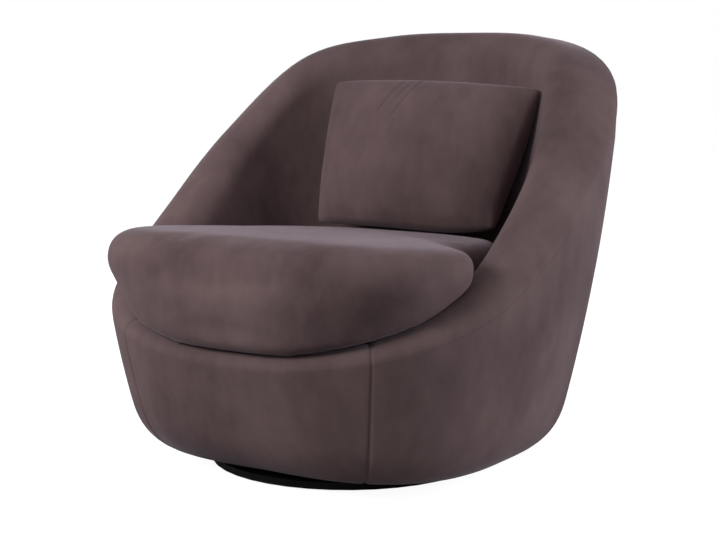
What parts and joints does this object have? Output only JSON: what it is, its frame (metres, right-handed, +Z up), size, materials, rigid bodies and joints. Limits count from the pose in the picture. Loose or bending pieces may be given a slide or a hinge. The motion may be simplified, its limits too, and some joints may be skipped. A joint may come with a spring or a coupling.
{
  "type": "swivel cuddle chair",
  "caption": "Low upholstered swivel tub chair with arms that sweep up into a rounded back, a loose seat cushion and a loose lumbar pillow on a round black plinth.",
  "frame": {"origin": "on the floor, under the plinth, on the swivel axis", "axes": "+Z up along the swivel axis; the sitter faces -Y; +X is the sitter's left"},
  "size_m": [0.852, 0.8668, 0.764],
  "materials": {
    "velvet": "satin",
    "lining_cloth": "matte",
    "black_cloth": "matte",
    "foam": "matte",
    "fibre": "matte",
    "plywood": "matte",
    "softwood": "matte",
    "black_lacquer": "gloss",
    "zinc_steel": "satin",
    "spring_steel": "satin",
    "glide_rubber": "matte"
  },
  "bodies": {
    "base": {"centre_glide": "glide_rubber", "glide_1": "glide_rubber", "glide_2": "glide_rubber", "glide_3": "glide_rubber", "glide_4": "glide_rubber", "glide_5": "glide_rubber", "glide_6": "glide_rubber", "plinth": "black_lacquer", "lower_swivel_plate": "zinc_steel", "lower_plate_screw_1": "zinc_steel", "lower_plate_screw_2": "zinc_steel", "lower_plate_screw_3": "zinc_steel", "lower_plate_screw_4": "zinc_steel"},
    "ball_cage": {"ball_cage": "zinc_steel"},
    "tub": {"upper_swivel_plate": "zinc_steel", "upper_plate_bolt_1": "zinc_steel", "upper_plate_bolt_2": "zinc_steel", "upper_plate_bolt_3": "zinc_steel", "upper_plate_bolt_4": "zinc_steel", "base_board": "plywood", "seat_ring": "plywood", "front_board": "plywood", "side_board_right": "plywood", "side_board_left": "plywood", "back_board": "plywood", "post_1": "softwood", "post_2": "softwood", "post_3": "softwood", "post_4": "softwood", "post_5": "softwood", "seat_spring_1": "spring_steel", "seat_spring_2": "spring_steel", "seat_spring_3": "spring_steel", "seat_spring_4": "spring_steel", "spring_clip_1": "zinc_steel", "spring_clip_2": "zinc_steel", "spring_clip_3": "zinc_steel", "spring_clip_4": "zinc_steel", "spring_clip_5": "zinc_steel", "spring_clip_6": "zinc_steel", "spring_clip_7": "zinc_steel", "spring_clip_8": "zinc_steel", "deck_pad": "foam", "dust_cover": "black_cloth", "front_foam": "foam", "arm_foam_right": "foam", "arm_foam_left": "foam", "back_foam": "foam", "front_cover": "velvet", "outer_cover_right": "velvet", "outer_cover_left": "velvet", "inner_cover": "velvet"},
    "seat_cushion": {"seat_cushion_foam": "foam", "seat_cushion_cover": "velvet", "seat_cushion_base_cloth": "lining_cloth"},
    "pillow": {"pillow_fill": "fibre", "pillow_front_cover": "velvet", "pillow_back_cover": "velvet"}
  },
  "joints": [
    {"name": "swivel", "type": "hinge", "parent": "base", "child": "tub", "pos_m": [0, 0, 0.024], "axis": [0, 0, 1], "continuous": true},
    {"name": "cage_spin", "type": "hinge", "parent": "base", "child": "ball_cage", "pos_m": [0, 0, 0.024], "axis": [0, 0, 1], "continuous": true},
    {"name": "seat_cushion_lift", "type": "slide", "parent": "tub", "child": "seat_cushion", "axis": [0, 0, 1], "range_m": [0, 0.1]},
    {"name": "pillow_lift", "type": "slide", "parent": "seat_cushion", "child": "pillow", "axis": [0, 0, 1], "range_m": [0, 0.15]}
  ],
  "couplings": [
    {"joint": "cage_spin", "follows": "swivel", "ratio": 0.5}
  ]
}
